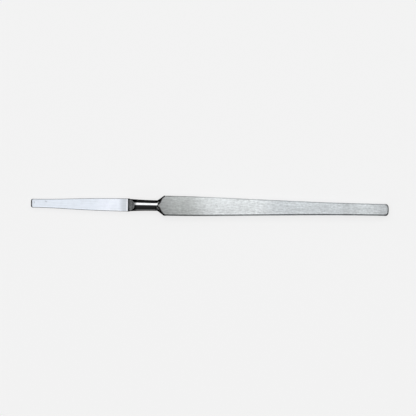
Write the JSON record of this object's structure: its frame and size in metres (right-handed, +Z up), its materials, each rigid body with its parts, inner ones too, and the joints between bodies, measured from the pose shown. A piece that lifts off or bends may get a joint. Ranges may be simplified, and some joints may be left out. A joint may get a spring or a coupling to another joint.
{
  "type": "podiatry chisel",
  "caption": "Straight hand chisel for nail and skin care, in stainless steel: a flat tapered handle, a round polished neck and a thin blade with a square cutting end.",
  "frame": {"origin": "under the middle of the instrument's length, on the plane of the handle's flat back", "axes": "+X along the instrument from the cutting edge towards the far end of the handle, +Z up out of the handle's flat face, with the cutting bevel on the upper side"},
  "size_m": [0.14, 0.0078, 0.0046],
  "materials": {
    "steel": "satin brushed handle, mirror-polished neck and shoulder, finely ground blade"
  },
  "bodies": {
    "root": {"chisel": "steel"}
  },
  "joints": []
}
